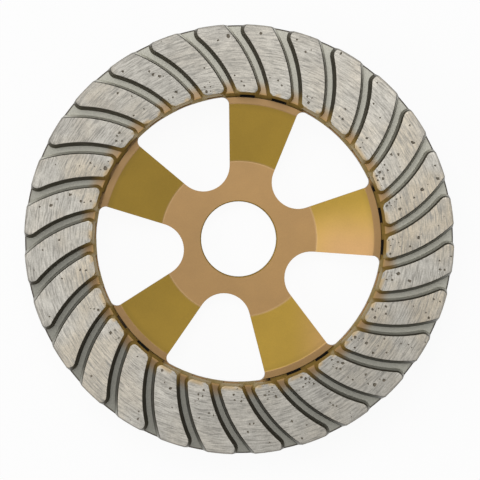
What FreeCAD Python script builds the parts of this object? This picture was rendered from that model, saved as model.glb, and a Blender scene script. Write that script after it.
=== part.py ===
"""Diamond cup wheel with turbo teeth, seen as it leaves the press and the paint booth.

Two pieces make the wheel. The steel core is turned from a pressing: a flat hub with a plain bore, a conical
wall pierced by five windows, a narrow ledge, and a flange. The diamond ring is one sintered piece that sits
on the flange, outside the ledge: a base band with curved teeth raised on it.

The origin is on the spindle axis, in the plane of the hub's back face. +Z points to the grinding side, and
the wheel lies on its back. Lengths are in millimetres and angles in degrees.
"""
import FreeCAD
import Part
import math
import os

import Sketcher

NODE_CORE = "steel_core"
NODE_RING = "diamond_ring"

# How a sketch numbers the places on its lines and arcs, and its own origin and level axis.
START, END, CENTRE = range(1, 4)
ORIGIN = (-1, 1)
LEVEL_AXIS = -1
AXIS_POINT = FreeCAD.Vector(0, 0, 0)
FOUND_WITHIN = 0.001

# Each driving size, with the words that stand beside it in the sheet.
SIZES = [
    ("bore_diameter", 22.23, "Plain bore for the grinder's spindle collar"),
    ("bore_chamfer", 0.3, "Chamfer at both mouths of the bore"),
    ("hub_thickness", 6.0, "Hub, from its back face to its front face"),
    ("hub_face_diameter", 46.0, "Flat front of the hub, where the nut clamps"),
    ("boss_diameter", 44.0, "Raised seat on the back of the hub"),
    ("boss_height", 1.2, "Step from that seat up to the back of the cone"),
    ("boss_chamfer", 0.5, "Chamfer round the back seat"),
    ("ledge_height", 14.0, "Flat ledge above the hub's back face"),
    ("ledge_width", 2.0, "Ledge, from the top of the cone to its outer side"),
    ("ledge_rounding", 1.3, "Soft edge between cone and ledge"),
    ("seat_height", 12.5, "Flange face that the ring sits on"),
    ("flange_thickness", 3.8, "Flange under the ring"),
    ("flange_setback", 0.5, "How far the flange stays inside the ring's rim"),
    ("flange_chamfer", 0.8, "Chamfer round the back of the flange"),
    ("back_rounding", 3.0, "Hollow between the cone's back and the flange"),
    ("window_count", 5, "Windows round the cone"),
    ("window_angle", 43.56, "Middle line of the first window, from +X"),
    ("window_nose_distance", 24.2, "Axis to the middle of the window's round inner end"),
    ("window_nose_radius", 7.8, "Round inner end of a window"),
    ("window_half_angle", 24.65, "Each straight side against the window's middle line"),
    ("window_corner_radius", 2.05, "Outer corners of a window"),
    ("window_setback", 0.15, "Steel of the seat cut away behind the ring's inner wall"),
    ("ring_clearance", 0.2, "Gap all round between the ring and the ledge that centres it"),
    ("ring_diameter", 125.0, "Outside of the diamond ring"),
    ("ring_bore_ratio", 0.668, "Inside of the ring, as a share of its outside"),
    ("base_thickness", 3.5, "Base band, from the seat to the groove floors"),
    ("shoulder_height", 2.0, "Sloped inner edge of the base band, upright part of it"),
    ("shoulder_width", 0.95, "Sloped inner edge of the base band, level part of it"),
    ("rim_allowance", 0.3, "Metal turned off the rim once the ring is sintered"),
    ("rim_bevel", 0.25, "Bevel where a groove floor meets the rim"),
    ("tooth_count", 28, "Teeth round the ring"),
    ("tooth_height", 5.0, "Teeth above the groove floors"),
    ("tooth_draft", 11.0, "Lean of the teeth's side walls, so that the die lifts off"),
    ("tooth_root", 1.0, "How deep the teeth run down into the base band"),
    ("tooth_end_setback", 1.05, "Ring's inner wall to the inner ends of the teeth, at their tops"),
    ("convex_curve_ratio", 0.638, "Bulging side of a tooth: radius of its arc, as a share of the ring's"),
    ("convex_centre_ratio", 0.7692, "Wheel axis to the middle of that arc, as a share of the ring's radius"),
    ("convex_side_angle", 43.95, "Direction of the middle of that arc, from +X"),
    ("hollow_curve_ratio", 0.6178, "Hollow side of a tooth: radius of its arc, as a share of the ring's"),
    ("hollow_centre_ratio", 0.7514, "Wheel axis to the middle of that arc, as a share of the ring's radius"),
    ("hollow_side_angle", 51.35, "Direction of the middle of that arc, from +X"),
    ("nose_radius", 1.8, "Round outer corner on the hollow side"),
    ("convex_corner_radius", 1.3, "Inner corner on the bulging side"),
    ("slot_width", 0.55, "Slot at the foot of a tooth, outwards from the ring's inner wall"),
    ("slot_angle", 6.2, "Length of that slot round the ring"),
    ("slot_middle_angle", -3.3, "Middle of the first slot, from +X"),
    ("toe_gap_angle", 0.8, "Between the upright cuts at the feet of neighbouring teeth"),
]

# Sizes that follow from the driving ones, as sheet formulas.
DERIVED = [
    ("bore_radius", "=bore_diameter / 2"),
    ("hub_face_radius", "=hub_face_diameter / 2"),
    ("boss_radius", "=boss_diameter / 2"),
    ("ring_radius", "=ring_diameter / 2"),
    ("ring_inner_radius", "=ring_radius * ring_bore_ratio"),
    ("ledge_outer_radius", "=ring_inner_radius - ring_clearance"),
    ("ledge_inner_radius", "=ledge_outer_radius - ledge_width"),
    ("cone_slope", "=(ledge_height - hub_thickness) / (ledge_inner_radius - hub_face_radius)"),
    ("flange_radius", "=ring_radius - flange_setback"),
    ("flange_back_height", "=seat_height - flange_thickness"),
    ("cone_back_radius", "=boss_radius + (flange_back_height - boss_height) / cone_slope"),
    ("window_outer_radius", "=ring_inner_radius + window_setback"),
    ("window_right_angle", "=window_angle - window_half_angle"),
    ("window_left_angle", "=window_angle + window_half_angle"),
    ("floor_height", "=seat_height + base_thickness"),
    ("shoulder_foot_height", "=floor_height - shoulder_height"),
    ("shoulder_top_radius", "=ring_inner_radius + shoulder_width"),
    ("blank_radius", "=ring_radius + rim_allowance"),
    ("bevel_foot_height", "=floor_height - rim_bevel - rim_allowance"),
    ("bevel_top_radius", "=ring_radius - rim_bevel"),
    ("tooth_top_height", "=floor_height + tooth_height"),
    ("tooth_inner_radius", "=ring_inner_radius + tooth_end_setback"),
    ("convex_side_radius", "=ring_radius * convex_curve_ratio"),
    ("convex_side_distance", "=ring_radius * convex_centre_ratio"),
    ("hollow_side_radius", "=ring_radius * hollow_curve_ratio"),
    ("hollow_side_distance", "=ring_radius * hollow_centre_ratio"),
    ("tooth_reach", "=tooth_height + tooth_root"),
    ("slot_outer_radius", "=ring_inner_radius + slot_width"),
    ("slot_start_angle", "=slot_middle_angle - slot_angle / 2"),
    ("slot_end_angle", "=slot_middle_angle + slot_angle / 2"),
    ("toe_clear_radius", "=ring_inner_radius - tooth_height"),
    ("toe_angle", "=360 / tooth_count - toe_gap_angle"),
    ("toe_start_angle", "=slot_middle_angle - toe_angle / 2"),
    ("toe_end_angle", "=slot_middle_angle + toe_angle / 2"),
    ("trim_radius", "=blank_radius + tooth_reach"),
    ("trim_foot_height", "=seat_height - base_thickness"),
    ("trim_top_height", "=tooth_top_height + base_thickness"),
]

doc = FreeCAD.newDocument("diamond_cup_wheel")


def make_sheet():
    """Fills the spreadsheet: a name, its value or formula, and what it is."""
    sheet = doc.addObject("Spreadsheet::Sheet", "sizes")
    row = 1
    for alias, value, words in SIZES:
        sheet.set(f"A{row}", alias)
        sheet.set(f"B{row}", str(value))
        sheet.setAlias(f"B{row}", alias)
        sheet.set(f"C{row}", words)
        row += 1
    for alias, formula in DERIVED:
        sheet.set(f"A{row}", alias)
        sheet.set(f"B{row}", formula)
        sheet.setAlias(f"B{row}", alias)
        row += 1
    doc.recompute()
    return sheet


SHEET = make_sheet()


def size(alias):
    """The number that the sheet holds under a name."""
    return float(getattr(SHEET, alias))


def polar(radius, degrees):
    """A sketch point given by its distance from the axis and its direction."""
    turn = math.radians(degrees)
    return FreeCAD.Vector(radius * math.cos(turn), radius * math.sin(turn), 0)


def direction_of(point, centre):
    """The direction, in radians, in which a point lies from a centre."""
    return math.atan2(point.y - centre.y, point.x - centre.x)


def circles_meet(centre_a, radius_a, centre_b, radius_b, near):
    """The crossing point of two circles that lies closer to a given point."""
    across = centre_b - centre_a
    reach = across.Length
    along = (reach**2 + radius_a**2 - radius_b**2) / (2 * reach)
    aside = math.sqrt(radius_a**2 - along**2)
    unit = across / reach
    normal = FreeCAD.Vector(-unit.y, unit.x, 0)
    foot = centre_a + unit * along
    choices = (foot + normal * aside, foot - normal * aside)
    return min(choices, key=lambda point: point.distanceToPoint(near))


def touch_point(centre, radius, other):
    """The point of a circle that lies towards another centre."""
    toward = other - centre
    return centre + toward * (radius / toward.Length)


def arc_between(centre, radius, start, end):
    """The arc that runs counter-clockwise about its centre from one point to another."""
    circle = Part.Circle(centre, FreeCAD.Vector(0, 0, 1), radius)
    return Part.ArcOfCircle(circle, direction_of(start, centre), direction_of(end, centre))


def new_body(name):
    body = doc.addObject("PartDesign::Body", name)
    body.Label = name
    return body


def sketch_on(body, name, role, height=None):
    """A sketch on one of the body's own planes, raised by a size of the sheet where one is named."""
    plane = next(item for item in body.Origin.OriginFeatures if item.Role == role)
    sketch = body.newObject("Sketcher::SketchObject", name)
    sketch.AttachmentSupport = [(plane, "")]
    sketch.MapMode = "FlatFace"
    if height:
        sketch.setExpression("AttachmentOffset.Base.z", f"sizes.{height}")
    return sketch


def bind(sketch, kind, places, alias):
    """Adds one dimension to a sketch and ties it to a size of the sheet."""
    value = math.radians(size(alias)) if kind == "Angle" else size(alias)
    index = sketch.addConstraint(Sketcher.Constraint(kind, *places, value))
    sketch.setExpression(f"Constraints[{index}]", f"sizes.{alias}")


def join(sketch, kind, first, first_place, second, second_place):
    """Joins a place on one line or arc to a place on another: Coincident, or Tangent for a smooth joint."""
    sketch.addConstraint(Sketcher.Constraint(kind, first, first_place, second, second_place))


def closed_profile(sketch, corners):
    """Draws a closed outline through corners and ties each corner to the sheet.

    A corner is a pair of sheet names, its distance from the axis and its height. None stands for zero.
    """
    points = [FreeCAD.Vector(size(across), size(up) if up else 0, 0) for across, up in corners]
    count = len(points)
    for index, point in enumerate(points):
        sketch.addGeometry(Part.LineSegment(point, points[(index + 1) % count]))
    for index in range(count):
        join(sketch, "Coincident", index, END, (index + 1) % count, START)
    for index, (across, up) in enumerate(corners):
        bind(sketch, "DistanceX", (*ORIGIN, index, START), across)
        if up:
            bind(sketch, "DistanceY", (*ORIGIN, index, START), up)
        else:
            sketch.addConstraint(Sketcher.Constraint("PointOnObject", index, START, LEVEL_AXIS))


def turn_profile(body, sketch, name, kind="PartDesign::Revolution"):
    """Turns a sketch once round the wheel's axis, adding to the body or cutting it."""
    turned = body.newObject(kind, name)
    turned.Profile = sketch
    turned.ReferenceAxis = (sketch, ["V_Axis"])
    turned.Angle = 360
    return turned


def repeat_round(body, features, name, count_alias):
    """Repeats features round the wheel's axis and makes the pattern the body's tip."""
    axis = next(item for item in body.Origin.OriginFeatures if item.Role == "Z_Axis")
    pattern = body.newObject("PartDesign::PolarPattern", name)
    pattern.Originals = features
    pattern.Axis = (axis, [""])
    pattern.Angle = 360
    pattern.setExpression("Occurrences", f"sizes.{count_alias}")
    body.Tip = pattern
    return pattern


def ring_edges(feature, places):
    """Names the round edges of a feature that lie at the given distances from the axis and heights."""
    names = []
    for index, edge in enumerate(feature.Shape.Edges, start=1):
        if not isinstance(edge.Curve, Part.Circle):
            continue
        centre = edge.Curve.Center
        for across, up in places:
            off = max(math.hypot(centre.x, centre.y), abs(edge.Curve.Radius - across), abs(centre.z - up))
            if off < FOUND_WITHIN:
                names.append(f"Edge{index}")
    return names


def dress_edges(body, base, kind, name, places, alias):
    """Rounds or chamfers round edges of a turned feature."""
    doc.recompute()
    dressed = body.newObject(kind, name)
    dressed.Base = (base, ring_edges(base, places))
    dressed.setExpression("Radius" if kind.endswith("Fillet") else "Size", f"sizes.{alias}")
    return dressed


def window_outline(sketch):
    """Draws one window: a round inner end, two straight sides, and an outer arc with round corners."""
    middle = size("window_angle")
    lean = size("window_half_angle")
    nose_radius = size("window_nose_radius")
    corner = size("window_corner_radius")
    outer = size("window_outer_radius")
    nose = polar(size("window_nose_distance"), middle)
    starts, ends, corners, touches = [], [], [], []
    for side in (-1, 1):
        run = polar(1, middle + side * lean)
        inward = polar(1, middle + side * (lean - 90))
        start = nose - inward * nose_radius
        base = start + inward * corner
        along = base.dot(run)
        travel = -along + math.sqrt(along**2 - base.dot(base) + (outer - corner) ** 2)
        centre = base + run * travel
        starts.append(start)
        ends.append(centre - inward * corner)
        corners.append(centre)
        touches.append(touch_point(AXIS_POINT, outer, centre))
    sketch.addGeometry(arc_between(nose, nose_radius, starts[1], starts[0]))
    sketch.addGeometry(Part.LineSegment(starts[0], ends[0]))
    sketch.addGeometry(arc_between(corners[0], corner, ends[0], touches[0]))
    sketch.addGeometry(arc_between(AXIS_POINT, outer, touches[0], touches[1]))
    sketch.addGeometry(arc_between(corners[1], corner, touches[1], ends[1]))
    sketch.addGeometry(Part.LineSegment(starts[1], ends[1]))
    sketch.addGeometry(Part.LineSegment(AXIS_POINT, nose), True)
    nose_arc, right_side, right_corner, outer_arc, left_corner, left_side, middle_line = range(7)
    join(sketch, "Tangent", nose_arc, END, right_side, START)
    join(sketch, "Tangent", right_side, END, right_corner, START)
    join(sketch, "Tangent", right_corner, END, outer_arc, START)
    join(sketch, "Tangent", outer_arc, END, left_corner, START)
    join(sketch, "Tangent", left_corner, END, left_side, END)
    join(sketch, "Tangent", left_side, START, nose_arc, START)
    join(sketch, "Coincident", outer_arc, CENTRE, *ORIGIN)
    join(sketch, "Coincident", middle_line, START, *ORIGIN)
    join(sketch, "Coincident", middle_line, END, nose_arc, CENTRE)
    bind(sketch, "Distance", (middle_line,), "window_nose_distance")
    bind(sketch, "Angle", (middle_line,), "window_angle")
    bind(sketch, "Angle", (right_side,), "window_right_angle")
    bind(sketch, "Angle", (left_side,), "window_left_angle")
    bind(sketch, "Radius", (nose_arc,), "window_nose_radius")
    bind(sketch, "Radius", (outer_arc,), "window_outer_radius")
    bind(sketch, "Radius", (right_corner,), "window_corner_radius")
    bind(sketch, "Radius", (left_corner,), "window_corner_radius")


def tooth_outline(sketch):
    """Draws the top of one tooth: two curved sides, an arc at the rim and one at the inner end."""
    rim = size("blank_radius")
    inner = size("tooth_inner_radius")
    bulge = polar(size("convex_side_distance"), size("convex_side_angle"))
    bulge_radius = size("convex_side_radius")
    hollow = polar(size("hollow_side_distance"), size("hollow_side_angle"))
    hollow_radius = size("hollow_side_radius")
    nose_radius = size("nose_radius")
    corner = size("convex_corner_radius")
    outside = polar(rim, 0)
    inside = polar(inner, 0)
    rim_corner = circles_meet(bulge, bulge_radius, AXIS_POINT, rim, outside)
    nose = circles_meet(hollow, hollow_radius + nose_radius, AXIS_POINT, rim - nose_radius, outside)
    hollow_foot = circles_meet(hollow, hollow_radius, AXIS_POINT, inner, inside)
    foot = circles_meet(bulge, bulge_radius - corner, AXIS_POINT, inner + corner, inside)
    nose_on_rim = touch_point(AXIS_POINT, rim, nose)
    nose_on_side = touch_point(hollow, hollow_radius, nose)
    foot_on_end = touch_point(AXIS_POINT, inner, foot)
    foot_on_side = touch_point(bulge, bulge_radius, foot)
    sketch.addGeometry(arc_between(AXIS_POINT, rim, rim_corner, nose_on_rim))
    sketch.addGeometry(arc_between(nose, nose_radius, nose_on_rim, nose_on_side))
    sketch.addGeometry(arc_between(hollow, hollow_radius, hollow_foot, nose_on_side))
    sketch.addGeometry(arc_between(AXIS_POINT, inner, foot_on_end, hollow_foot))
    sketch.addGeometry(arc_between(foot, corner, foot_on_end, foot_on_side))
    sketch.addGeometry(arc_between(bulge, bulge_radius, foot_on_side, rim_corner))
    sketch.addGeometry(Part.LineSegment(AXIS_POINT, bulge), True)
    sketch.addGeometry(Part.LineSegment(AXIS_POINT, hollow), True)
    rim_arc, nose_arc, hollow_side, inner_end, corner_arc, bulge_side, bulge_line, hollow_line = range(8)
    join(sketch, "Tangent", rim_arc, END, nose_arc, START)
    join(sketch, "Tangent", nose_arc, END, hollow_side, END)
    join(sketch, "Coincident", hollow_side, START, inner_end, END)
    join(sketch, "Tangent", inner_end, START, corner_arc, START)
    join(sketch, "Tangent", corner_arc, END, bulge_side, START)
    join(sketch, "Coincident", bulge_side, END, rim_arc, START)
    join(sketch, "Coincident", rim_arc, CENTRE, *ORIGIN)
    join(sketch, "Coincident", inner_end, CENTRE, *ORIGIN)
    for line, arc, name in ((bulge_line, bulge_side, "convex"), (hollow_line, hollow_side, "hollow")):
        join(sketch, "Coincident", line, START, *ORIGIN)
        join(sketch, "Coincident", line, END, arc, CENTRE)
        bind(sketch, "Distance", (line,), f"{name}_side_distance")
        bind(sketch, "Angle", (line,), f"{name}_side_angle")
        bind(sketch, "Radius", (arc,), f"{name}_side_radius")
    bind(sketch, "Radius", (rim_arc,), "blank_radius")
    bind(sketch, "Radius", (nose_arc,), "nose_radius")
    bind(sketch, "Radius", (inner_end,), "tooth_inner_radius")
    bind(sketch, "Radius", (corner_arc,), "convex_corner_radius")


def foot_outline(sketch, inner_alias, start_alias, end_alias):
    """Draws a cut at the foot of one tooth: two arcs about the wheel's axis, joined by radial ends."""
    inner = size(inner_alias)
    outer = size("slot_outer_radius")
    inner_start, outer_start = (polar(radius, size(start_alias)) for radius in (inner, outer))
    inner_end, outer_end = (polar(radius, size(end_alias)) for radius in (inner, outer))
    sketch.addGeometry(arc_between(AXIS_POINT, inner, inner_start, inner_end))
    sketch.addGeometry(arc_between(AXIS_POINT, outer, outer_start, outer_end))
    sketch.addGeometry(Part.LineSegment(inner_start, outer_start))
    sketch.addGeometry(Part.LineSegment(inner_end, outer_end))
    inner_arc, outer_arc, start_line, end_line = range(4)
    for line, place, alias in ((start_line, START, start_alias), (end_line, END, end_alias)):
        join(sketch, "Coincident", line, START, inner_arc, place)
        join(sketch, "Coincident", line, END, outer_arc, place)
        sketch.addConstraint(Sketcher.Constraint("PointOnObject", *ORIGIN, line))
        bind(sketch, "Angle", (line,), alias)
    for arc, alias in ((inner_arc, inner_alias), (outer_arc, "slot_outer_radius")):
        join(sketch, "Coincident", arc, CENTRE, *ORIGIN)
        bind(sketch, "Radius", (arc,), alias)


def make_core():
    """The steel core: turned, then pierced by its windows."""
    body = new_body(NODE_CORE)
    section = sketch_on(body, "core_section", "XZ_Plane")
    closed_profile(
        section,
        [
            ("bore_radius", None),
            ("boss_radius", None),
            ("boss_radius", "boss_height"),
            ("cone_back_radius", "flange_back_height"),
            ("flange_radius", "flange_back_height"),
            ("flange_radius", "seat_height"),
            ("ledge_outer_radius", "seat_height"),
            ("ledge_outer_radius", "ledge_height"),
            ("ledge_inner_radius", "ledge_height"),
            ("hub_face_radius", "hub_thickness"),
            ("bore_radius", "hub_thickness"),
        ],
    )
    turned = turn_profile(body, section, "core_turned")
    bore_mouths = [(size("bore_radius"), 0), (size("bore_radius"), size("hub_thickness"))]
    ledge_edge = [(size("ledge_inner_radius"), size("ledge_height"))]
    hollow_edge = [(size("cone_back_radius"), size("flange_back_height"))]
    boss_edge = [(size("boss_radius"), 0)]
    flange_edge = [(size("flange_radius"), size("flange_back_height"))]
    fillet = "PartDesign::Fillet"
    chamfer = "PartDesign::Chamfer"
    feature = dress_edges(body, turned, fillet, "ledge_rounded", ledge_edge, "ledge_rounding")
    feature = dress_edges(body, feature, fillet, "back_rounded", hollow_edge, "back_rounding")
    feature = dress_edges(body, feature, chamfer, "bore_chamfered", bore_mouths, "bore_chamfer")
    feature = dress_edges(body, feature, chamfer, "boss_chamfered", boss_edge, "boss_chamfer")
    feature = dress_edges(body, feature, chamfer, "flange_chamfered", flange_edge, "flange_chamfer")
    outline = sketch_on(body, "window_outline", "XY_Plane")
    window_outline(outline)
    window = body.newObject("PartDesign::Pocket", "window")
    window.Profile = outline
    window.Type = "ThroughAll"
    window.Midplane = True
    doc.recompute()
    repeat_round(body, [window], "windows", "window_count")
    return body


def make_ring():
    """The diamond ring: the teeth, the base band that joins them, and the slots at their feet."""
    body = new_body(NODE_RING)
    tooth_sketch = sketch_on(body, "tooth_outline", "XY_Plane", "tooth_top_height")
    tooth_outline(tooth_sketch)
    tooth = body.newObject("PartDesign::Pad", "tooth")
    tooth.Profile = tooth_sketch
    tooth.Reversed = True
    tooth.setExpression("Length", "sizes.tooth_reach")
    tooth.setExpression("TaperAngle", "sizes.tooth_draft")
    doc.recompute()
    toe_sketch = sketch_on(body, "toe_outline", "XY_Plane", "tooth_top_height")
    foot_outline(toe_sketch, "toe_clear_radius", "toe_start_angle", "toe_end_angle")
    toe = body.newObject("PartDesign::Pocket", "toe_trimmed")
    toe.Profile = toe_sketch
    toe.Type = "ThroughAll"
    doc.recompute()
    repeat_round(body, [tooth, toe], "teeth", "tooth_count")
    doc.recompute()
    section = sketch_on(body, "base_section", "XZ_Plane")
    closed_profile(
        section,
        [
            ("ring_inner_radius", "seat_height"),
            ("blank_radius", "seat_height"),
            ("blank_radius", "bevel_foot_height"),
            ("bevel_top_radius", "floor_height"),
            ("shoulder_top_radius", "floor_height"),
            ("ring_inner_radius", "shoulder_foot_height"),
        ],
    )
    turn_profile(body, section, "base_band")
    doc.recompute()
    slot_sketch = sketch_on(body, "slot_outline", "XY_Plane", "floor_height")
    foot_outline(slot_sketch, "ledge_outer_radius", "slot_start_angle", "slot_end_angle")
    slot = body.newObject("PartDesign::Pocket", "slot")
    slot.Profile = slot_sketch
    slot.Type = "ThroughAll"
    doc.recompute()
    repeat_round(body, [slot], "slots", "tooth_count")
    doc.recompute()
    trim_section = sketch_on(body, "trim_section", "XZ_Plane")
    closed_profile(
        trim_section,
        [
            ("ring_radius", "trim_foot_height"),
            ("trim_radius", "trim_foot_height"),
            ("trim_radius", "trim_top_height"),
            ("ring_radius", "trim_top_height"),
        ],
    )
    turn_profile(body, trim_section, "rim_turned_true", "PartDesign::Groove")
    return body


def check_document():
    """Stops with a plain message if any object of the document has failed."""
    for item in doc.Objects:
        if "Invalid" in item.State or "Error" in item.State:
            raise RuntimeError(f"{item.Name} did not compute: {item.State}")


def write_node(body):
    """Writes one finished piece to its own file, after a look at its shape."""
    shape = body.Shape
    if shape.isNull() or not shape.isValid() or len(shape.Solids) != 1:
        raise RuntimeError(f"{body.Label} is not one sound solid")
    shape.exportStep(os.path.join("parts", f"{body.Label}.step"))
    box = shape.BoundBox
    print(
        f"{body.Label}: volume {shape.Volume / 1000:.3f} cm3, "
        f"{box.XLength:.2f} x {box.YLength:.2f} x {box.ZLength:.2f} mm, z from {box.ZMin:.2f}"
    )


def main():
    os.makedirs("parts", exist_ok=True)
    bodies = [make_core(), make_ring()]
    doc.recompute()
    check_document()
    for body in bodies:
        write_node(body)


main()
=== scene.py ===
# %% [markdown]
# # A diamond cup wheel, from bare frame to finished looks
#
# A cup wheel grinds concrete and stone. It is made of two pieces: a pressed and turned steel core,
# lacquered gold, and a sintered ring of metal bond and diamond, with curved teeth. Both come in from the
# CAD model, which fixes every size. What is left for Blender is the part that the eye reads: softened
# edges, pores in the ground faces, the lacquer, the grinding streaks, and the light.

import math
import random

import bmesh
import bpy
from mathutils import Matrix, Vector
from mathutils.geometry import delaunay_2d_cdt


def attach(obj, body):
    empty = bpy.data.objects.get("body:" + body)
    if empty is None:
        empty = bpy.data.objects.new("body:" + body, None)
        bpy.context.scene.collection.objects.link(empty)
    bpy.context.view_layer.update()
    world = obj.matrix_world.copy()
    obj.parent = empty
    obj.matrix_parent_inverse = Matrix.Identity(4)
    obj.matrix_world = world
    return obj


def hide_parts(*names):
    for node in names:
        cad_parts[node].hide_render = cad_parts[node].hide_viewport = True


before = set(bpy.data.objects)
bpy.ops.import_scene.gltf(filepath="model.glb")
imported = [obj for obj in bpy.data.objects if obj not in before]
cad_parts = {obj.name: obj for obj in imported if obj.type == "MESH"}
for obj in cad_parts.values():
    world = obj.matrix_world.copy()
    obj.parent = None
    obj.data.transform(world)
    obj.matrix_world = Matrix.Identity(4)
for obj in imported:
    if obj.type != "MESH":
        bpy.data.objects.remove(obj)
bpy.context.view_layer.update()
MM = 0.001

# %% [markdown]
# ## The camera
#
# The photograph looks straight into the cup from nearly a metre away, through a long lens, so the teeth
# keep their true curves and only a sliver of their side walls shows. The lens is not guessed: the tooth
# tops must fill a known share of the picture, so its length follows from the distance. The camera stands a
# little to the upper left of the axis, which is why the hub sits slightly off the middle of the ring. A
# camera that looks almost straight down has no natural upright, so its three axes are worked out here,
# with +Y up the picture.

# %% Place the camera
PICTURE_PIXELS = 480
TOP_PIXELS_PER_MM = 3.4427
CAMERA_DISTANCE = 950
CAMERA_LEAN = (-0.0131, 0.0073)
AIM = Vector((0.171, -0.186, 21.0)) * MM

lens_camera = bpy.data.cameras.new("cup_camera")
lens_camera.sensor_width = 36
lens_camera.lens = TOP_PIXELS_PER_MM * CAMERA_DISTANCE / PICTURE_PIXELS * lens_camera.sensor_width
lens_camera.clip_start = 0.05
lens_camera.clip_end = 10
camera = bpy.data.objects.new("cup_camera", lens_camera)
bpy.context.scene.collection.objects.link(camera)
camera.location = Vector((*CAMERA_LEAN, 1)) * CAMERA_DISTANCE * MM + AIM
forward = (AIM - camera.location).normalized()
right = forward.cross(Vector((0, 1, 0))).normalized()
camera.rotation_euler = Matrix((right, right.cross(forward), -forward)).transposed().to_euler()
bpy.context.scene.camera = camera
bpy.context.scene.view_settings.view_transform = "Standard"
print("lens, mm:", round(lens_camera.lens, 1))

# %% [markdown]
# ## Nodes in plain words
#
# A procedural finish is a small sum done at every point of a surface. Written out node by node it is long
# and hard to follow, so these helpers keep each line of the sum short. `node` adds a node and fills its
# sockets with numbers or with other nodes' results. `sums` is one Math node, and `times` is a product.
# `between` turns a range of a value into a share from 0 to 1, `spread` maps a value onto a range, and
# `noise` gives soft blotches. `colours` mixes two colours by a share, and `scaled` makes a colour lighter
# or darker, or a vector longer.


# %% Helpers for node trees
def fill(tree, made, sockets):
    """Fills a node's sockets with numbers or with links."""
    for name, value in sockets.items():
        if isinstance(value, bpy.types.NodeSocket):
            tree.links.new(value, made.inputs[name])
        else:
            made.inputs[name].default_value = value


def node(tree, kind, sockets=None, out=0, **settings):
    """Adds a node, fills its sockets, and returns one of its outputs."""
    made = tree.nodes.new(kind)
    for name, value in settings.items():
        setattr(made, name, value)
    fill(tree, made, sockets or {})
    return made.outputs[out]


def sums(tree, operation, first, second=0.0, third=0.0):
    """One Math node."""
    return node(tree, "ShaderNodeMath", {0: first, 1: second, 2: third}, operation=operation)


def times(tree, *values):
    """The product of two or more values."""
    product = values[0]
    for value in values[1:]:
        product = sums(tree, "MULTIPLY", product, value)
    return product


def between(tree, value, low, high):
    """A share that rises smoothly from 0 at low to 1 at high. Low may be the larger of the two."""
    sockets = {"Value": value, "From Min": low, "From Max": high}
    return node(tree, "ShaderNodeMapRange", sockets, interpolation_type="SMOOTHSTEP")


def spread(tree, value, low, high, start=0.0, end=1.0):
    """Maps a value that runs from start to end onto low to high, in a straight line."""
    sockets = {"Value": value, "From Min": start, "From Max": end, "To Min": low, "To Max": high}
    return node(tree, "ShaderNodeMapRange", sockets)


def noise(tree, where, scale, detail, roughness=0.5):
    """Soft blotches from 0 to 1, about 1 / scale across."""
    sockets = {"Vector": where, "Scale": scale, "Detail": detail, "Roughness": roughness}
    return node(tree, "ShaderNodeTexNoise", sockets)


def colours(tree, share, first, second):
    """Mixes two colours: the first at share 0, the second at share 1."""
    made = tree.nodes.new("ShaderNodeMix")
    made.data_type = "RGBA"
    ends = [end if isinstance(end, bpy.types.NodeSocket) else (*end, 1) for end in (first, second)]
    fill(tree, made, {0: share, 6: ends[0], 7: ends[1]})
    return made.outputs[2]


def scaled(tree, vector, by):
    """A colour or a vector times a number."""
    return node(tree, "ShaderNodeVectorMath", {0: vector, 3: by}, operation="SCALE")


def parts_of(tree, vector):
    """The three parts of a vector."""
    return tuple(node(tree, "ShaderNodeSeparateXYZ", {0: vector}).node.outputs)


def new_finish(name):
    """A new material with its node tree and its shader."""
    finish = bpy.data.materials.new(name)
    finish.use_nodes = True
    return finish, finish.node_tree, finish.node_tree.nodes["Principled BSDF"]


# %% [markdown]
# ## Where on the wheel
#
# Everything about this wheel is laid out round its axis: the lacquer changes with the distance from it, the
# teeth and the spokes repeat round it, and several tones lean towards one side of the wheel, some of them
# as painted light and shade. Painted images would tie the looks to one size. Here each finish asks where a
# point lies, in millimetres, and which way its surface faces, so the same sums hold all the way round. The
# cosine of the angle round the axis, times the number of repeats, is 1 at each repeat and falls away
# between them.

# %% Helpers for places round the axis
MASK_SOFTNESS = 0.1


def places(tree):
    """A point in mm, its level part, its distance from the axis, its height, and how far it faces up."""
    here = node(tree, "ShaderNodeTexCoord", out=3)
    point = scaled(tree, here, 1 / MM)
    x, y, height = parts_of(tree, point)
    level = node(tree, "ShaderNodeCombineXYZ", {0: x, 1: y})
    across = node(tree, "ShaderNodeVectorMath", {0: level}, out=1, operation="LENGTH")
    upward = parts_of(tree, node(tree, "ShaderNodeNewGeometry", out=1))[2]
    return point, level, across, height, upward


def waves(tree, level, count, first):
    """Waves round the axis: 1 at the first angle, in degrees, and at each of count equal steps from it."""
    x, y, _ = parts_of(tree, level)
    around = sums(tree, "ARCTAN2", y, x)
    return sums(tree, "COSINE", sums(tree, "MULTIPLY_ADD", around, count, -count * math.radians(first)))


def at_every(tree, level, count, first, half_width):
    """1 within half_width degrees of each of count equal steps round the axis, 0 elsewhere."""
    edge = math.cos(math.radians(count * half_width))
    return between(tree, waves(tree, level, count, first), edge - MASK_SOFTNESS, edge + MASK_SOFTNESS)


def leaning(tree, level, towards, strength, count=1):
    """A tone that is 1 on average and rises towards one side of the wheel, or towards count sides."""
    return sums(tree, "MULTIPLY_ADD", waves(tree, level, count, towards), strength, 1.0)


# %% [markdown]
# ## Light
#
# The wheel was photographed on white. A large lamp hangs high, a little towards the top of the picture, so
# the groove floors are bright and the side walls that face away from it are almost black. A second, lower
# soft box on the left brightens the spokes on the right, whose slopes face it. One lamp would do for the
# ring, but not for the cone, where each of the five spokes has its own brightness. The background is white
# to the camera and in reflections, and the light that it throws is kept dimmer.

# %% Set the light
BACKGROUND_WHITE = (1.0, 1.0, 1.0, 1.0)
DOME_LIGHT = 0.30


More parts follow.
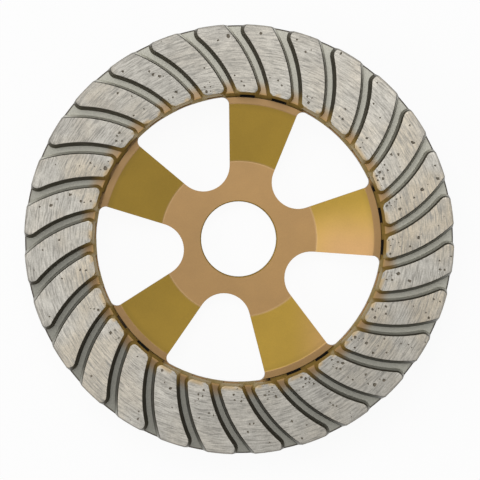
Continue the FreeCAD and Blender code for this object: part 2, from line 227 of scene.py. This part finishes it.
def seen_directly(tree):
    """1 for what the camera, a mirror or glass sees, and 0 for light on its way to a surface."""
    path = tree.nodes.new("ShaderNodeLightPath")
    seen = sums(tree, "MAXIMUM", path.outputs["Is Camera Ray"], path.outputs["Is Glossy Ray"])
    return sums(tree, "MAXIMUM", seen, path.outputs["Is Transmission Ray"])


def soft_box(name, side, watts, distance, azimuth, elevation):
    """A square lamp that looks at the wheel. Lengths in metres, angles in degrees."""
    light = bpy.data.lights.new(name, "AREA")
    light.size = side
    light.energy = watts
    lamp = bpy.data.objects.new(name, light)
    bpy.context.scene.collection.objects.link(lamp)
    around, rise = math.radians(azimuth), math.radians(elevation)
    ray = Vector((math.cos(around) * math.cos(rise), math.sin(around) * math.cos(rise), math.sin(rise)))
    lamp.location = ray * distance
    lamp.rotation_euler = (-ray).to_track_quat("-Z", "Y").to_euler()
    lamp.visible_camera = False
    print(name, "watts:", watts, "height, m:", round(lamp.location.z, 2))


world = bpy.data.worlds.new("white_room")
world.use_nodes = True
bpy.context.scene.world = world
room = world.node_tree
room.nodes.clear()
dome = node(room, "ShaderNodeBackground", {"Color": BACKGROUND_WHITE, "Strength": DOME_LIGHT})
white = node(room, "ShaderNodeBackground", {"Color": BACKGROUND_WHITE, "Strength": 1.0})
room_light = node(room, "ShaderNodeMixShader", {0: seen_directly(room), 1: dome, 2: white})
fill(room, room.nodes.new("ShaderNodeOutputWorld"), {"Surface": room_light})
soft_box("key_box", side=0.42, watts=3.0, distance=0.9, azimuth=112, elevation=72)
soft_box("side_box", side=0.34, watts=1.75, distance=0.9, azimuth=178, elevation=38)

# %% [markdown]
# ## Floor
#
# The wheel lies on white paper, which shows through its windows and its bore. A plain white floor would
# turn grey wherever little light reaches it. So most of what the camera sees of it is a glow of strength
# 1, and the small rest is real paper, which keeps the wheel's soft shadow. The floor lies a hair under the
# wheel, because two faces at the same height flicker.

# %% Lay the floor
FLOOR_SIDE = 3.0
FLOOR_GAP = 0.02 * MM
PAPER = (0.86, 0.86, 0.86)
PAPER_FIBRES = [value * 1.03 for value in PAPER]
SHADOW_SHARE = 0.06

half = FLOOR_SIDE / 2
floor_corners = [(-half, -half, 0), (half, -half, 0), (half, half, 0), (-half, half, 0)]
floor_mesh = bpy.data.meshes.new("white_floor")
floor_mesh.from_pydata(floor_corners, [], [(0, 1, 2, 3)])
floor = bpy.data.objects.new("white_floor", floor_mesh)
floor.location.z = -FLOOR_GAP
bpy.context.scene.collection.objects.link(floor)

paper, tree, shader = new_finish("white_paper")
grain = node(tree, "ShaderNodeTexNoise", {"Scale": 40.0, "Detail": 2.0})
shade = colours(tree, grain, PAPER, PAPER_FIBRES)
fill(tree, shader, {"Base Color": shade, "Roughness": 0.9, "Specular IOR Level": 0.1})
glow = node(tree, "ShaderNodeEmission", {"Color": BACKGROUND_WHITE, "Strength": 1.0})
glow_share = times(tree, seen_directly(tree), 1 - SHADOW_SHARE)
lit_paper = node(tree, "ShaderNodeMixShader", {0: glow_share, 1: shader.outputs[0], 2: glow})
fill(tree, tree.nodes["Material Output"], {"Surface": lit_paper})
floor_mesh.materials.append(paper)
print("floor side, m:", FLOOR_SIDE, "share that takes the shadow:", SHADOW_SHARE)

# %% [markdown]
# ## Taking a CAD node over
#
# A CAD mesh is made of triangles with knife-sharp edges. Real edges are never that sharp: the press rounds
# them, the lacquer fills them and the grinder breaks them, and that thin rounding is what catches the
# light. A bevel modifier would round every edge alike, and would trip over the triangles. So each node is
# copied, its triangles are merged back into whole faces, and only its sharp edges are rounded. The sizes
# stay the CAD's own, and the copy takes the node's place.

# %% Helpers for the copies
MERGE_WITHIN = 1e-7
FLAT_WITHIN = math.radians(0.6)
HAIR = 1e-6
SMOOTH_ANGLE = math.radians(32)


def copy_of(node_name):
    """The node's mesh as a bmesh, its triangles merged into whole faces."""
    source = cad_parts[node_name].data
    work = bmesh.new()
    corners = [work.verts.new(vertex.co) for vertex in source.vertices]
    for polygon in source.polygons:
        work.faces.new([corners[index] for index in polygon.vertices])
    bmesh.ops.remove_doubles(work, verts=work.verts, dist=MERGE_WITHIN)
    bmesh.ops.dissolve_limit(work, angle_limit=FLAT_WITHIN, verts=work.verts, edges=work.edges)
    work.normal_update()
    return work


def sharp_edges(work, least, keep=lambda middle: True):
    """The edges whose faces turn by more than an angle, in degrees, and whose middle, in mm, is kept."""
    found = []
    for edge in work.edges:
        middle = (edge.verts[0].co + edge.verts[1].co) / 2 / MM
        if edge.is_manifold and edge.calc_face_angle() > math.radians(least) and keep(middle):
            found.append(edge)
    return found


def round_edges(work, edges, radius, segments, past_neighbours=False):
    """Rounds edges by a radius in millimetres, over narrow neighbouring faces too if asked."""
    bmesh.ops.bevel(
        work, geom=edges, offset=radius * MM, offset_type="OFFSET", segments=segments,
        profile=0.5, affect="EDGES", clamp_overlap=not past_neighbours,
    )
    bmesh.ops.dissolve_degenerate(work, edges=work.edges, dist=HAIR)
    work.normal_update()


def finish_piece(work, piece_name, node_name, finishes):
    """Turns a bmesh into a piece that stands for a CAD node."""
    mesh = bpy.data.meshes.new(piece_name)
    work.to_mesh(mesh)
    work.free()
    for polygon in mesh.polygons:
        polygon.use_smooth = True
    mesh.set_sharp_from_angle(angle=SMOOTH_ANGLE)
    piece = bpy.data.objects.new(piece_name, mesh)
    even = piece.modifiers.new("even_shading", "WEIGHTED_NORMAL")
    even.keep_sharp = True
    even.weight = 100
    bpy.context.scene.collection.objects.link(piece)
    for finish in finishes:
        mesh.materials.append(finish)
    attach(piece, "root")
    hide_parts(node_name)
    print(piece_name, "faces:", len(mesh.polygons))


# %% [markdown]
# ## Gold lacquer
#
# One metallic lacquer covers the whole core, yet it shows three colours, and its colour follows the slope
# of the surface. On the hub and the ledge, where the steel was turned flat, it is painted pinkish tan. That
# tan is partly the lacquer and partly a painted reflection of the high lamp that these faces mirror. On the
# pressed cone it is olive gold. Towards the lower right the cone is painted amber, as a painted highlight
# where the side lamp's reflection falls. The hub and the cone could each have a material, but it is one
# coat. A pale line is painted where the hub ends, as a painted highlight on that edge, and steep faces,
# such as the cut sides of the spokes, are browner than the rest.

# %% Mix the lacquer's colours
TAN_WITH_REFLECTION = (0.280, 0.161, 0.054)
OLIVE = (0.345, 0.216, 0.022)
AMBER_HIGHLIGHT = (0.385, 0.220, 0.078)
EDGE_BROWN = (0.210, 0.120, 0.045)
RIDGE_HIGHLIGHT = (0.400, 0.255, 0.120)
RIDGE_RADIUS, RIDGE_HIGHLIGHT_SHARE = 23.0, 0.45
RIDGE_WIDTH = (0.45, 0.1)
FLAT_SLOPE, FACE_SLOPE = (0.945, 0.992), (0.35, 0.8)
HIGHLIGHT_RIGHTWARDS, HIGHLIGHT_DOWNWARDS = (14, 30), (12, -4)

lacquer, tree, shader = new_finish("gold_lacquer_coat")
point, level, across, height, upward = places(tree)
steep = sums(tree, "ABSOLUTE", upward)
x, y, _ = parts_of(tree, level)
# Painted highlight: towards the lower right the cone is painted amber, where the side lamp's reflection
# falls.
amber_highlight = times(tree, between(tree, x, *HIGHLIGHT_RIGHTWARDS), between(tree, y, *HIGHLIGHT_DOWNWARDS))
cone_paint_and_highlight = colours(tree, amber_highlight, OLIVE, AMBER_HIGHLIGHT)
# Painted reflection: the flat faces are painted tan, partly in place of the high lamp's reflection.
lacquer_and_light = colours(tree, between(tree, steep, *FLAT_SLOPE), cone_paint_and_highlight, TAN_WITH_REFLECTION)
# Painted highlight: a pale line is painted round the edge where the hub ends.
from_ridge = sums(tree, "ABSOLUTE", sums(tree, "SUBTRACT", across, RIDGE_RADIUS))
lacquer_and_light = colours(tree, times(tree, between(tree, from_ridge, *RIDGE_WIDTH), RIDGE_HIGHLIGHT_SHARE), lacquer_and_light, RIDGE_HIGHLIGHT)
lacquer_and_light = colours(tree, between(tree, steep, *FACE_SLOPE), EDGE_BROWN, lacquer_and_light)
print("lacquer nodes so far:", len(tree.nodes))

# %% [markdown]
# ## The dark slots at the foot of the teeth
#
# Between the ledge and the foot of each tooth is a small slot. Seen from above, it shows the shade under
# the ring, where no lamp reaches, as a short black dash, but only over the spokes, where there is core
# behind it. The slot is real geometry, yet a lacquer or a bond that shines would still throw light back out
# of it. So both finishes are painted nearly black, as painted shade, and lose their shine inside these
# slots: `in_shade` is 1 there. Towards the upper left the painted shade fades out, and the slots keep the
# finish's own colour.

# %% Find the slots
SPOKES, FIRST_SPOKE, SPOKE_HALF = 5, 7.56, 14.5
SLOTS, FIRST_SLOT, SLOT_HALF = 28, -3.3, 3.0
FROM_LEDGE, TO_RING = (41.4, 41.5), (42.8, 42.6)
UNDER_LEDGE, OVER_FLANGE = (13.4, 13.2), (12.2, 12.4)
FADED_SHADE_SIDE = 155
SLOT_DARK = (0.008, 0.006, 0.004)
SHINE = 0.5


def in_shade(tree, level, near_joint):
    """The share of painted shade at a place near the joint: in a slot over a spoke, fading out towards the
    upper left.
    """
    over_spoke = at_every(tree, level, SPOKES, FIRST_SPOKE, SPOKE_HALF)
    at_slot = at_every(tree, level, SLOTS, FIRST_SLOT, SLOT_HALF)
    # The painted shade fades out towards the upper left.
    shade_side_share = between(tree, waves(tree, level, 1, FADED_SHADE_SIDE), 0.8, 0.4)
    return times(tree, near_joint, over_spoke, at_slot, shade_side_share)


beside_ledge = times(tree, between(tree, across, *FROM_LEDGE), between(tree, across, *TO_RING))
on_flange = times(
    tree, beside_ledge, between(tree, height, *UNDER_LEDGE), between(tree, height, *OVER_FLANGE)
)
shaded = in_shade(tree, level, on_flange)
lacquer_and_light = colours(tree, shaded, lacquer_and_light, SLOT_DARK)
fill(tree, shader, {"Specular IOR Level": spread(tree, shaded, SHINE, 0.0)})
print("slots:", SLOTS, "spokes:", SPOKES)

# %% [markdown]
# ## The lacquer's tone and grain
#
# Lacquer is never quite even. Broad clouds and fine metal flakes make it a little lighter and darker, and
# its skin is wavy like orange peel. An image could do that for one picture, but noise that is measured in
# millimetres keeps its grain from near and far. The flakes also change the roughness, so that a highlight
# breaks up. The whole core is also made a little lighter towards the right of the picture, and the ledge
# darker towards the ring.

# %% Finish the lacquer
LEDGE_DARKEST = 0.83
LEDGE_FROM, LEDGE_TO = 37.8, 39.8

clouds = noise(tree, point, 0.09, 3.0, 0.6)
flakes = noise(tree, point, 2.2, 2.0, 0.7)
tone = times(tree, spread(tree, clouds, 0.86, 1.14), spread(tree, flakes, 0.88, 1.12))
ledge_tone = spread(tree, across, 1.0, LEDGE_DARKEST, LEDGE_FROM, LEDGE_TO)
tone = times(tree, tone, leaning(tree, level, 0, 0.05), ledge_tone)
orange_peel = noise(tree, point, 1.4, 1.0)
peel_bump = node(tree, "ShaderNodeBump", {"Height": orange_peel, "Distance": 0.02 * MM, "Strength": 0.5})
fill(tree, shader, {
    "Base Color": scaled(tree, lacquer_and_light, tone),
    "Metallic": 0.55,
    "Roughness": spread(tree, flakes, 0.38, 0.5),
    "Coat Weight": 0.12,
    "Coat Roughness": 0.35,
    "Normal": peel_bump,
})
print("lacquer nodes:", len(tree.nodes))

# %% [markdown]
# ## The core
#
# The core is a pressed and punched steel cup. Its cut edges are slightly rounded, and the lacquer fills
# them further. Every edge that turns by more than 24 degrees is rounded by 0.3 mm. The soft edge of the
# ledge turns in smaller steps, so it stays as the CAD model has it.

# %% Round the core's edges and coat it
PUNCHED_EDGE = 0.3
PUNCHED_ANGLE = 24

core = copy_of("steel_core")
round_edges(core, sharp_edges(core, PUNCHED_ANGLE), PUNCHED_EDGE, 3)
finish_piece(core, "lacquered_core", "steel_core", [lacquer])

# %% [markdown]
# ## Ground tops and their streaks
#
# The ring is pressed from metal powder with diamond in it, and sintered. The tooth tops are then ground
# flat while the wheel turns, which leaves fine streaks along the turn. Noise stretched on a flat sheet
# would run straight across a tooth, so here it is stretched round the axis: it is read at the direction
# from the axis, with the distance as a third part that changes about ten times as fast for each
# millimetre. A second, slow noise makes the streaks waver. Warm patches, a fine speckle and a few lacquer
# stains near the inner ends break up the grey.

# %% Mix the ground tops
GROUND = (0.425, 0.405, 0.362)
GROUND_DARK = (0.222, 0.210, 0.185)
WARM = (0.432, 0.376, 0.290)
STAIN = (0.400, 0.285, 0.140)
WAVER = 0.45
STREAK_RANGE = (0.33, 0.60)
WARM_RANGE = (0.35, 0.62)
STAIN_RADII = (44.4, 43.0)
COARSE_SHARE, FINE_SHARE = 0.6, 0.4
WARM_SHARE, STAIN_SHARE = 0.6, 0.8

bond, tree, shader = new_finish("sintered_bond_faces")
point, level, across, height, upward = places(tree)
outward = node(tree, "ShaderNodeVectorMath", {0: level}, operation="NORMALIZE")
waver = noise(tree, point, 0.35, 1.0)


def turning_streaks(across_scale, along_scale, detail):
    """Noise drawn out along the turn, and a little wavy: across_scale per mm, along_scale per radian."""
    wavy = sums(tree, "ADD", across, times(tree, waver, WAVER))
    rings = node(tree, "ShaderNodeCombineXYZ", {2: times(tree, wavy, across_scale)})
    sockets = {0: scaled(tree, outward, along_scale), 1: rings}
    drawn_out = node(tree, "ShaderNodeVectorMath", sockets, operation="ADD")
    return noise(tree, drawn_out, 1.0, detail, 0.6)


coarse = turning_streaks(2.3, 11.0, 2.0)
fine = turning_streaks(5.4, 24.0, 1.0)
streaks = sums(tree, "ADD", times(tree, coarse, COARSE_SHARE), times(tree, fine, FINE_SHARE))
warm_patches = between(tree, noise(tree, point, 0.07, 2.0), *WARM_RANGE)
warm = times(tree, warm_patches, leaning(tree, level, 0, 0.7, 2), WARM_SHARE)
ground = colours(
    tree, between(tree, streaks, *STREAK_RANGE), GROUND_DARK, colours(tree, warm, GROUND, WARM)
)

patches = noise(tree, point, 0.22, 1.0)
speckle = noise(tree, point, 2.6, 1.0)
ground_tone = times(tree, spread(tree, patches, 0.80, 1.20), leaning(tree, level, 33, 0.12, 2))
ground_tone = times(tree, ground_tone, spread(tree, speckle, 0.72, 1.26), leaning(tree, level, 45, 0.04))
stains = times(tree, between(tree, across, *STAIN_RADII), between(tree, patches, 0.44, 0.56), STAIN_SHARE)
ground = colours(tree, stains, scaled(tree, ground, ground_tone), STAIN)
print("shares of coarse and fine streaks:", COARSE_SHARE, FINE_SHARE)

# %% [markdown]
# ## The skin of the die on the groove floors
#
# The grinder never reaches the groove floors, so they keep the smooth grey-green skin that the die gave
# them. A little lacquer has drifted over their inner ends: tan there, paler towards the upper left, and
# golden brown on the last edge over the core. The skin is painted darker towards the lower left and the
# drift darker towards the bottom, as painted shade where the lamps light the floors less. A second material
# could cover the inner ends, but the drift has no border, so a share that grows inwards mixes the two.

# %% Mix the groove floors
SKIN = (0.315, 0.308, 0.266)
PALE_DRIFT = (0.285, 0.185, 0.090)
EDGE_GOLD = (0.340, 0.205, 0.072)
PALE_SIDE = 115
DRIFT_SHARE = 0.85
DRIFT_RADII = (47.2, 43.8)
EDGE_RADII = (43.6, 42.6)

skin_grain = noise(tree, point, 2.2, 3.0)
# Painted light: the skin is painted lighter towards the upper right and darker towards the lower left.
skin_grain_and_painted_light = times(tree, spread(tree, skin_grain, 0.72, 1.28), leaning(tree, level, 50, 0.36))
gold_drift = between(tree, across, *DRIFT_RADII)
paler = between(tree, waves(tree, level, 1, PALE_SIDE), 0.2, 0.8)
# Painted light: the drift is painted lighter towards the top and darker towards the bottom.
drifted_and_lit = scaled(tree, colours(tree, paler, TAN_WITH_REFLECTION, PALE_DRIFT), leaning(tree, level, 80, 0.24))
skin = colours(tree, times(tree, gold_drift, DRIFT_SHARE), scaled(tree, SKIN, skin_grain_and_painted_light), drifted_and_lit)
floors = colours(tree, between(tree, across, *EDGE_RADII), skin, EDGE_GOLD)
print("share of lacquer at the inner ends:", DRIFT_SHARE)

# %% [markdown]
# ## The side walls of the teeth
#
# The sides of the teeth are nearly black near the top, and from above they are the dark lines that draw
# each tooth. Some of these lines are thinner than others, because below the dark part the walls are painted
# lighter, in a brightened skin colour, where they face the lamps. This painted light falls on the bulging
# sides, brightest at the left and darkest at the right, and on the hollow sides at the right of the wheel
# only. The direction of the turn, which is the way out from the axis turned by a right angle, tells the two
# kinds of side apart: a hollow side faces along it, and a bulging side faces against it.

# %% Mix the side walls
WALL = (0.058, 0.048, 0.028)
WALL_GOLD = (0.330, 0.228, 0.055)
BULGE_PAINTED_LIGHT = 1.35
HOLLOW_PAINTED_LIGHT = 1.5
BULGE_HEIGHTS = (20.1, 19.1)
HOLLOW_HEIGHTS = (19.3, 18.5)

outward_x, outward_y, _ = parts_of(tree, outward)
turning = node(tree, "ShaderNodeCombineXYZ", {0: times(tree, outward_y, -1.0), 1: outward_x})
facing = node(tree, "ShaderNodeNewGeometry", out=1)
side = node(tree, "ShaderNodeVectorMath", {0: facing, 1: turning}, out=1, operation="DOT_PRODUCT")
# Painted light: below the dark band the bulging sides are painted in a brightened skin colour, lightest at
# the left, darkest at the right.
low_bulge = times(tree, between(tree, side, -0.2, -0.5), between(tree, height, *BULGE_HEIGHTS))
bulge_light_tone = times(tree, leaning(tree, level, 150, 0.7), BULGE_PAINTED_LIGHT)
# Painted light: the hollow sides get the brightened skin colour below the dark band at the right of the
# wheel only.
lit_low_hollow = times(tree, between(tree, side, 0.2, 0.5), between(tree, height, *HOLLOW_HEIGHTS))
lit_low_hollow = times(tree, lit_low_hollow, between(tree, waves(tree, level, 1, -12), 0.45, 0.9))
walls = colours(tree, low_bulge, WALL, scaled(tree, skin, bulge_light_tone))
walls = colours(tree, lit_low_hollow, walls, scaled(tree, skin, HOLLOW_PAINTED_LIGHT))
walls = colours(tree, gold_drift, walls, WALL_GOLD)
print("tones of the skin on bulging and hollow sides:", BULGE_PAINTED_LIGHT, HOLLOW_PAINTED_LIGHT)

# %% [markdown]
# ## The turned rim
#
# The outside of the ring is turned true on a lathe, so it is bare metal with fine level marks. A thin dark
# line is painted round its upper edge, darker at the groove floors than at the tooth tops.
# The marks could be a bump, but from a distance a bump this fine is lost. Noise that is squeezed in height
# and drawn out sideways gives them as lighter and darker lines.

# %% Mix the rim
TURNED = (0.270, 0.250, 0.215)
RIM_LINE = (0.065, 0.054, 0.040)
RIM_LINE_AT_TOPS = 0.4
LATHE_SCALE = (0.12, 0.12, 4.0)
RIM_FROM, RIM_TO = 61.95, 62.25

at_rim = between(tree, across, RIM_FROM, RIM_TO)
lathe_place = node(tree, "ShaderNodeVectorMath", {0: point, 1: LATHE_SCALE}, operation="MULTIPLY")
turned_metal = scaled(tree, TURNED, spread(tree, noise(tree, lathe_place, 1.0, 2.0), 0.65, 1.35))
rim_line = times(tree, at_rim, spread(tree, height, 1.0, RIM_LINE_AT_TOPS, 17.0, 20.0))
rim_line = times(tree, rim_line, between(tree, upward, 0.15, 0.3))
rim_wall = times(tree, at_rim, between(tree, upward, 0.3, 0.15))
print("rim from and to, mm:", RIM_FROM, RIM_TO)

# %% [markdown]
# ## Joining the ring's faces
#
# One material covers the whole ring, because the real ring is one lump. What a point looks like follows
# from its height and its slope: a level face low down is a groove floor, anything at full height is a
# ground top, and the rest is side wall. The rim and the slots are laid over that last. The streaks also
# lift and sink the surface a little, so that they catch the light as real scratches do.

# %% Join the faces
TOP_HEIGHT = 21.0
FLOOR_HEIGHT = 16.0

is_level = between(tree, upward, 0.75, 0.95)
is_low = between(tree, height, FLOOR_HEIGHT + 0.8, FLOOR_HEIGHT + 0.2)
is_top = between(tree, height, TOP_HEIGHT - 0.12, TOP_HEIGHT - 0.02)
faces = colours(tree, times(tree, is_level, is_low), walls, floors)
faces = colours(tree, is_top, faces, ground)
faces = colours(tree, rim_line, faces, RIM_LINE)
faces = colours(tree, rim_wall, faces, turned_metal)
slot_wall = times(tree, between(tree, across, 42.5, 42.35), between(tree, upward, 0.3, 0.15))
shaded = in_shade(tree, level, times(tree, slot_wall, between(tree, height, 15.4, 15.1)))
scratches = node(tree, "ShaderNodeBump", {"Height": streaks, "Distance": 0.03 * MM, "Strength": 0.4})
fill(tree, shader, {
    "Base Color": colours(tree, shaded, faces, SLOT_DARK),
    "Metallic": 0.5,
    "Roughness": 0.5,
    "Specular IOR Level": spread(tree, shaded, SHINE, 0.0),
    "Normal": scratches,
})
print("bond nodes:", len(tree.nodes))

# %% [markdown]
# ## The inside of a pore
#
# Where a grain has come out of a ground top, the bond below is torn and dusty, with little shine, and it is
# painted dark, partly its own colour and partly painted shade in the shallow hollow.
# The bond's own sums can't tell the inside of a pore from a side wall, so the faces inside the pores get
# this small second material.

# %% Mix the inside of a pore
PORE_DARK_AND_SHADE = (0.150, 0.128, 0.098)
PORE_DUST = (0.270, 0.236, 0.186)

pore, tree, shader = new_finish("torn_pore_inside")
dust = noise(tree, places(tree)[0], 3.0, 2.0)
# Painted shade: the dark colour inside a pit stands partly for shade in the hollow.
torn = colours(tree, dust, PORE_DARK_AND_SHADE, PORE_DUST)
fill(tree, shader, {"Base Color": torn, "Roughness": 0.85, "Specular IOR Level": 0.2})
print("pore nodes:", len(tree.nodes))

# %% [markdown]
# ## Pits in the ground tops
#
# Where the grinder has opened a pore or torn out a grain, the tooth top has a pit. Under a lens each one is
# a small crater with a ragged rim, and there are many more of them on some teeth than on others. A dark dot
# in the material would do from afar, but a real hollow catches the light from every side. So each top is
# cut again round the outlines of its pits, and every outline is sunk into a crater.
#
# First come the places. A pit has to lie inside the tooth's outline, clear of its edge and of the other
# pits, and more than half of the tries are made near the tooth's inner end, where most pores are.

# %% Helpers that scatter the pits
PIT_RADIUS = (0.22, 0.5)
PIT_SIZES = (0.6, 0.8, 1.0, 1.25)
PIT_MARGIN = 0.15
PIT_CLEARANCE = 1.4
TRIES_PER_PIT = 12
GATHERED_SHARE = 0.55
GATHERED_FROM_END = (1.02, 1.09)
GATHERED_SPREAD = (-2, 2)


def inside(spot, outline):
    """Whether a flat point lies inside an outline: counts how many sides a line to the right crosses."""
    crossings = 0
    for first, second in zip(outline, outline[1:] + outline[:1]):
        if (first.y > spot.y) != (second.y > spot.y):
            reach = first.x + (spot.y - first.y) / (second.y - first.y) * (second.x - first.x)
            crossings += reach > spot.x
    return crossings % 2 == 1


def side_gap(spot, outline):
    """The distance from a flat point to the nearest side of an outline."""
    nearest = math.inf
    for first, second in zip(outline, outline[1:] + outline[:1]):
        run = second - first
        share = min(1, max(0, (spot - first).dot(run) / run.length_squared)) if run.length_squared else 0
        nearest = min(nearest, (spot - first - run * share).length)
    return nearest


def clear_of(spot, radius, pits):
    """Whether a pit of this radius would stay clear of the pits there are."""
    return all((spot - other).length > PIT_CLEARANCE * (radius + size) + PIT_MARGIN for other, size in pits)


def scatter_pits(outline, count, draw):
    """Chooses the middles and sizes of a tooth's pits: some anywhere, some gathered near its inner end."""
    low = Vector((min(corner.x for corner in outline), min(corner.y for corner in outline)))
    high = Vector((max(corner.x for corner in outline), max(corner.y for corner in outline)))
    inner_end = min(outline, key=lambda corner: corner.length)
    pits = []
    for _ in range(count * TRIES_PER_PIT):
        radius = draw.uniform(*PIT_RADIUS) * draw.choice(PIT_SIZES)
        if draw.random() < GATHERED_SHARE:
            near_end = inner_end * draw.uniform(*GATHERED_FROM_END)
            spot = near_end + Vector((draw.uniform(*GATHERED_SPREAD), draw.uniform(*GATHERED_SPREAD)))
        else:
            spot = Vector((draw.uniform(low.x, high.x), draw.uniform(low.y, high.y)))
        gap = radius * PIT_CLEARANCE + PIT_MARGIN
        if clear_of(spot, radius, pits) and inside(spot, outline) and side_gap(spot, outline) > gap:
            pits.append((spot, radius))
        if len(pits) == count:
            break
    return pits


print("largest pit radius, mm:", PIT_RADIUS[1] * PIT_SIZES[-1])

# %% [markdown]
# ### Cutting a top again and sinking its pits
#
# A boolean cut would need hundreds of cutters and leaves slivers. Blender's constrained Delaunay function
# lays triangles between any flat outlines instead, and says which outlines each new face lies in. `recut`
# keeps those that lie in the tooth's own outline alone, which leaves a hole for each pit, and `sink_pits`
# closes each hole with a sloping wall and a small flat bottom, both in the pore's material.

# %% Helpers that sink the pits
PIT_CORNERS = 9
PIT_REACH = (0.55, 1.35)
PIT_DEPTH = 0.7
DEPTH_RANGE = (0.7, 1.2)
PIT_FLOOR = 0.5
PORE_MATERIAL = 1
SOLVER_STEP = 1e-6


def ragged_ring(middle, radius, draw):
    """The flat outline of a pit, its corners at uneven distances from its middle."""
    corners = []
    for step in range(PIT_CORNERS):
        angle = 2 * math.pi * step / PIT_CORNERS
        reach = radius * draw.uniform(*PIT_REACH)
        corners.append(middle + Vector((math.cos(angle), math.sin(angle))) * reach)
    return corners


def recut(work, face, spots, loops):
    """Cuts a flat face again round outlines, of which the first is its own. Returns each spot's corner."""
    old_corners = list(face.verts)
    top = old_corners[0].co.z
    cut = delaunay_2d_cdt(spots, [], loops, 1, SOLVER_STEP)
    placed, pieces, came_from, kept_by = cut[0], cut[2], cut[3], cut[5]
    corners, of_spot = [], {}
    for spot, sources in zip(placed, came_from):
        known = [source for source in sources if source < len(old_corners)]
        corner = old_corners[known[0]] if known else work.verts.new((*(spot * MM), top))
        corners.append(corner)
        for source in sources:
            of_spot[source] = corner
    work.faces.remove(face)
    for piece, loops_round in zip(pieces, kept_by):
        if loops_round == [0]:
            work.faces.new([corners[index] for index in piece])
    return of_spot


def sink_pits(work, face, count, draw):
    """Cuts a flat top again round its pits and sinks each of them."""
    top = face.verts[0].co.z
    outline = [corner.co.xy / MM for corner in face.verts]
    pits = scatter_pits(outline, count, draw)
    spots, loops = list(outline), [list(range(len(outline)))]
    for middle, radius in pits:
        start = len(spots)
        spots += ragged_ring(middle, radius, draw)
        loops.append(list(range(start, len(spots))))
    of_spot = recut(work, face, spots, loops)
    for (middle, radius), loop in zip(pits, loops[1:]):
        rim = [of_spot[index] for index in loop]
        depth = radius * PIT_DEPTH * draw.uniform(*DEPTH_RANGE) * MM
        centre = Vector((*(middle * MM), top - depth))
        bottom = [work.verts.new(centre + (corner.co - centre) * PIT_FLOOR) for corner in rim]
        for corner in bottom:
            corner.co.z = top - depth
        for step in range(PIT_CORNERS):
            after = (step + 1) % PIT_CORNERS
            slope = work.faces.new((rim[step], rim[after], bottom[after], bottom[step]))
            slope.material_index = PORE_MATERIAL
        work.faces.new(bottom).material_index = PORE_MATERIAL
    return len(pits)


print("corners of a pit:", PIT_CORNERS, "depth to radius:", PIT_DEPTH)

# %% [markdown]
# ## The ring's edges
#
# Seen from above, each tooth has a small round corner at its inner end, which the CAD model leaves sharp.
# It is rounded by 0.85 mm. Beside it are narrow faces that would stop a bevel early, so this one may run
# past them. The grinder then breaks the edges round the tops by a hair, which draws every tooth's outline.

# %% Round the ring's edges
SHARP_ANGLE = 50
FOOT_CORNER = 0.85
TOP_EDGE = 0.14
UPRIGHT_SHARE = 0.8

ring = copy_of("diamond_ring")
INNER_END = min(math.hypot(v.co.x, v.co.y) for v in ring.verts if v.co.z > (TOP_HEIGHT - 0.01) * MM) / MM


def is_foot_corner(middle):
    """Whether an edge's middle lies at the inner end of a tooth."""
    return math.hypot(middle.x, middle.y) < INNER_END + 0.2 and middle.z > FLOOR_HEIGHT + 0.5


def is_upright(edge):
    """Whether an edge rises steeply."""
    return abs(edge.verts[0].co.z - edge.verts[1].co.z) > UPRIGHT_SHARE * edge.calc_length()


foot_corners = [edge for edge in sharp_edges(ring, SHARP_ANGLE, keep=is_foot_corner) if is_upright(edge)]
print("foot corners:", len(foot_corners), "inner end, mm:", round(INNER_END, 2))
round_edges(ring, foot_corners, FOOT_CORNER, 4, past_neighbours=True)
top_edges = sharp_edges(ring, SHARP_ANGLE, keep=lambda middle: middle.z > TOP_HEIGHT - 0.01)
round_edges(ring, top_edges, TOP_EDGE, 2)

# %% [markdown]
# ## Opening the pits, tooth by tooth
#
# On the wheel the teeth at the right, and below that, are pitted most. Each could be given its pits by
# hand, but no two wheels have the same ones. So the teeth are sorted by their angle, and a seeded draw
# gives each of them its own number of pits, which makes the same ring in every run.

# %% Open the pits and dress the ring
FEW_PITS, MANY_PITS = (4, 9), (9, 15)
PITTED_SIDE = math.radians(-20)
PITTED_WITHIN = math.cos(math.radians(60))
SMALLEST_TOP = 40 * MM**2

draw = random.Random(28)
tops = [face for face in ring.faces if face.normal.z > 0.99 and face.calc_area() > SMALLEST_TOP]
tops.sort(key=lambda face: math.atan2(*face.calc_center_median().yx))
opened = 0
for face in tops:
    middle = face.calc_center_median()
    is_pitted = math.cos(math.atan2(middle.y, middle.x) - PITTED_SIDE) > PITTED_WITHIN
    opened += sink_pits(ring, face, draw.randint(*(MANY_PITS if is_pitted else FEW_PITS)), draw)
print("tooth tops:", len(tops), "pits:", opened)
bmesh.ops.recalc_face_normals(ring, faces=ring.faces)
finish_piece(ring, "turbo_ring", "diamond_ring", [bond, pore])

# %% [markdown]
# ## Finishing
#
# The looks must not change the size of the part. Last, the view layer is updated once more.

# %% Finish
bpy.context.view_layer.update()
